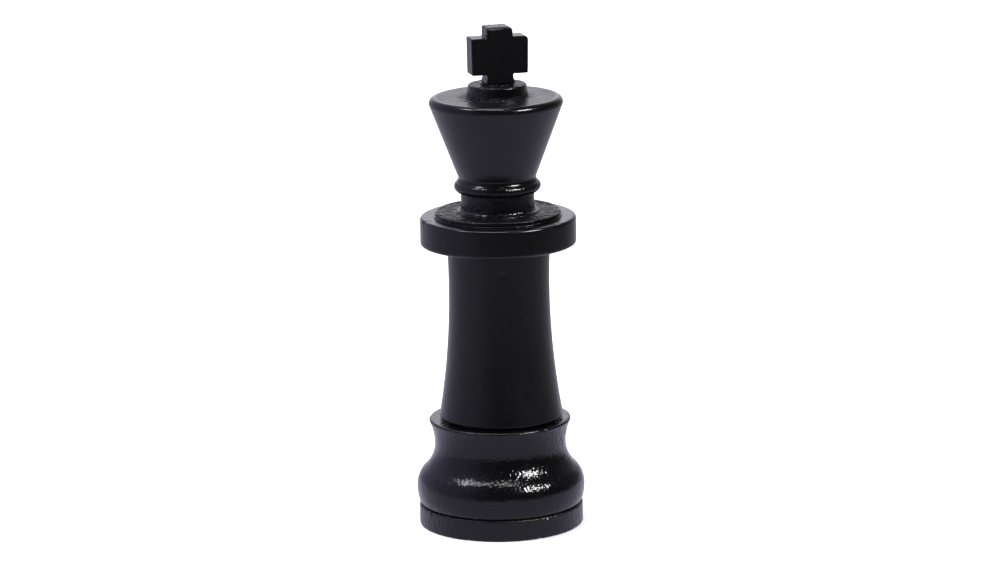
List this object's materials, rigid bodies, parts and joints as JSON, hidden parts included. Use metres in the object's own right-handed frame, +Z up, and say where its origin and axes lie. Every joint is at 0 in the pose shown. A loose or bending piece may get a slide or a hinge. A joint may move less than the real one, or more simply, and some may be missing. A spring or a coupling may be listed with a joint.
{
  "type": "giant chess king",
  "caption": "Tall black turned-wood chess king for lawn games, with a waisted stem, collar, flaring crown and board-cut cross, standing on a flat foot disc.",
  "frame": {"origin": "centre of the foot disc's underside, on the ground", "axes": "+Z up the turning axis to the cross, +X along the cross's arms, +Y through the cross's thickness"},
  "size_m": [0.1024, 0.1024, 0.3071],
  "materials": {
    "gloss_black": "gloss",
    "satin_black": "satin",
    "end_grain_black": "matte",
    "raw_dowel": "matte",
    "zinc_steel": "satin"
  },
  "bodies": {
    "root": {"foot_disc": "end_grain_black", "foot_screws": "zinc_steel", "base_body": "gloss_black", "base_washer": "zinc_steel", "base_coach_screw": "zinc_steel", "stem": "satin_black", "collar_flange": "satin_black", "collar_step": "gloss_black", "neck": "gloss_black", "bead_ring": "gloss_black", "crown": "satin_black", "head_dowel": "raw_dowel", "crown_button": "gloss_black", "cross": "satin_black", "cross_dowel": "raw_dowel"}
  },
  "joints": []
}
